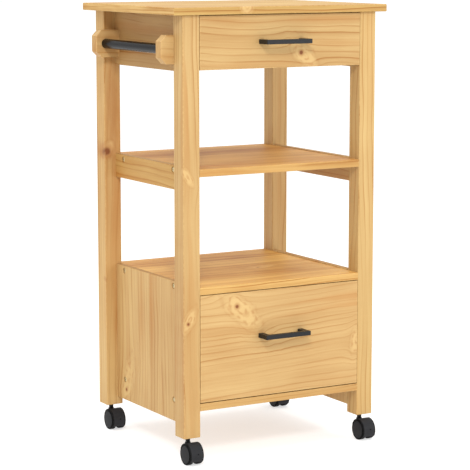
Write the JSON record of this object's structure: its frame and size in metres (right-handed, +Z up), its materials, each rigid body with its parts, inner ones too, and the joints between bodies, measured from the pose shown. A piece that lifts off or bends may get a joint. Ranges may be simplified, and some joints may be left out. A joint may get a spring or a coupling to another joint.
{
  "type": "kitchen island cart",
  "caption": "Rolling pine kitchen cart: worktop with a drawer under it, open mid shelf, deep lower drawer, side towel rail and swivel casters.",
  "frame": {"origin": "centre of the overall box at floor level", "axes": "+Z up, +X to the cart's right seen from the front, drawers face -Y"},
  "size_m": [0.495, 0.424, 0.9],
  "materials": {
    "pine": "satin clear lacquer on light pine",
    "beech": "plain sanded",
    "plywood": "plain thin sheet",
    "black_metal": "satin black powder coat",
    "black_plastic": "satin black moulded",
    "wheel_plastic": "satin black moulded",
    "stem_steel": "blackened",
    "screw_steel": "yellow zinc plated"
  },
  "bodies": {
    "frame": {"tabletop": "pine", "leg_front_left": "pine", "leg_front_right": "pine", "leg_rear_left": "pine", "leg_rear_right": "pine", "top_side_panel_left": "pine", "top_side_panel_right": "pine", "mid_side_rail_left": "pine", "mid_side_rail_right": "pine", "cabinet_side_panel_left": "pine", "cabinet_side_panel_right": "pine", "mid_shelf": "pine", "cabinet_top_board": "pine", "cabinet_bottom_board": "pine", "top_back_panel": "pine", "cabinet_back_panel": "pine", "frame_dowels": "beech", "shelf_screws": "screw_steel", "drawer_runners": "beech", "runner_screws": "screw_steel", "towel_bracket_front": "pine", "towel_bracket_rear": "pine", "towel_rail": "black_metal", "towel_bracket_screws": "screw_steel", "caster_stems": "stem_steel", "caster_sockets": "black_plastic"},
    "upper_drawer": {"upper_drawer_front": "pine", "upper_drawer_side_left": "pine", "upper_drawer_side_right": "pine", "upper_drawer_back": "pine", "upper_drawer_bottom": "plywood", "upper_drawer_dowels": "beech", "upper_drawer_box_screws": "screw_steel", "upper_drawer_handle": "black_metal", "upper_drawer_handle_screws": "screw_steel"},
    "lower_drawer": {"lower_drawer_front": "pine", "lower_drawer_side_left": "pine", "lower_drawer_side_right": "pine", "lower_drawer_back": "pine", "lower_drawer_bottom": "plywood", "lower_drawer_dowels": "beech", "lower_drawer_box_screws": "screw_steel", "lower_drawer_handle": "black_metal", "lower_drawer_handle_screws": "screw_steel"},
    "caster_front_left_swivel": {"caster_front_left_housing": "black_plastic", "caster_front_left_axle": "stem_steel"},
    "caster_front_left_wheel_left": {"caster_front_left_wheel_left": "wheel_plastic"},
    "caster_front_left_wheel_right": {"caster_front_left_wheel_right": "wheel_plastic"},
    "caster_front_right_swivel": {"caster_front_right_housing": "black_plastic", "caster_front_right_axle": "stem_steel"},
    "caster_front_right_wheel_left": {"caster_front_right_wheel_left": "wheel_plastic"},
    "caster_front_right_wheel_right": {"caster_front_right_wheel_right": "wheel_plastic"},
    "caster_rear_left_swivel": {"caster_rear_left_housing": "black_plastic", "caster_rear_left_axle": "stem_steel"},
    "caster_rear_left_wheel_left": {"caster_rear_left_wheel_left": "wheel_plastic"},
    "caster_rear_left_wheel_right": {"caster_rear_left_wheel_right": "wheel_plastic"},
    "caster_rear_right_swivel": {"caster_rear_right_housing": "black_plastic", "caster_rear_right_axle": "stem_steel"},
    "caster_rear_right_wheel_left": {"caster_rear_right_wheel_left": "wheel_plastic"},
    "caster_rear_right_wheel_right": {"caster_rear_right_wheel_right": "wheel_plastic"}
  },
  "joints": [
    {"name": "upper_drawer_slide", "type": "slide", "parent": "frame", "child": "upper_drawer", "axis": [0, -1, 0], "range_m": [0, 0.26]},
    {"name": "lower_drawer_slide", "type": "slide", "parent": "frame", "child": "lower_drawer", "axis": [0, -1, 0], "range_m": [0, 0.26]},
    {"name": "caster_front_left_turn", "type": "hinge", "parent": "frame", "child": "caster_front_left_swivel", "pos_m": [-0.2015, -0.1615, 0.03], "axis": [0, 0, 1], "continuous": true},
    {"name": "caster_front_left_roll_left", "type": "hinge", "parent": "caster_front_left_swivel", "child": "caster_front_left_wheel_left", "pos_m": [-0.2015, -0.1785, 0.021], "axis": [1, 0, 0], "continuous": true},
    {"name": "caster_front_left_roll_right", "type": "hinge", "parent": "caster_front_left_swivel", "child": "caster_front_left_wheel_right", "pos_m": [-0.2015, -0.1785, 0.021], "axis": [1, 0, 0], "continuous": true},
    {"name": "caster_front_right_turn", "type": "hinge", "parent": "frame", "child": "caster_front_right_swivel", "pos_m": [0.2065, -0.1615, 0.03], "axis": [0, 0, 1], "continuous": true},
    {"name": "caster_front_right_roll_left", "type": "hinge", "parent": "caster_front_right_swivel", "child": "caster_front_right_wheel_left", "pos_m": [0.2065, -0.1785, 0.021], "axis": [1, 0, 0], "continuous": true},
    {"name": "caster_front_right_roll_right", "type": "hinge", "parent": "caster_front_right_swivel", "child": "caster_front_right_wheel_right", "pos_m": [0.2065, -0.1785, 0.021], "axis": [1, 0, 0], "continuous": true},
    {"name": "caster_rear_left_turn", "type": "hinge", "parent": "frame", "child": "caster_rear_left_swivel", "pos_m": [-0.2015, 0.1785, 0.03], "axis": [0, 0, 1], "continuous": true},
    {"name": "caster_rear_left_roll_left", "type": "hinge", "parent": "caster_rear_left_swivel", "child": "caster_rear_left_wheel_left", "pos_m": [-0.2015, 0.1615, 0.021], "axis": [1, 0, 0], "continuous": true},
    {"name": "caster_rear_left_roll_right", "type": "hinge", "parent": "caster_rear_left_swivel", "child": "caster_rear_left_wheel_right", "pos_m": [-0.2015, 0.1615, 0.021], "axis": [1, 0, 0], "continuous": true},
    {"name": "caster_rear_right_turn", "type": "hinge", "parent": "frame", "child": "caster_rear_right_swivel", "pos_m": [0.2065, 0.1785, 0.03], "axis": [0, 0, 1], "continuous": true},
    {"name": "caster_rear_right_roll_left", "type": "hinge", "parent": "caster_rear_right_swivel", "child": "caster_rear_right_wheel_left", "pos_m": [0.2065, 0.1615, 0.021], "axis": [1, 0, 0], "continuous": true},
    {"name": "caster_rear_right_roll_right", "type": "hinge", "parent": "caster_rear_right_swivel", "child": "caster_rear_right_wheel_right", "pos_m": [0.2065, 0.1615, 0.021], "axis": [1, 0, 0], "continuous": true}
  ]
}
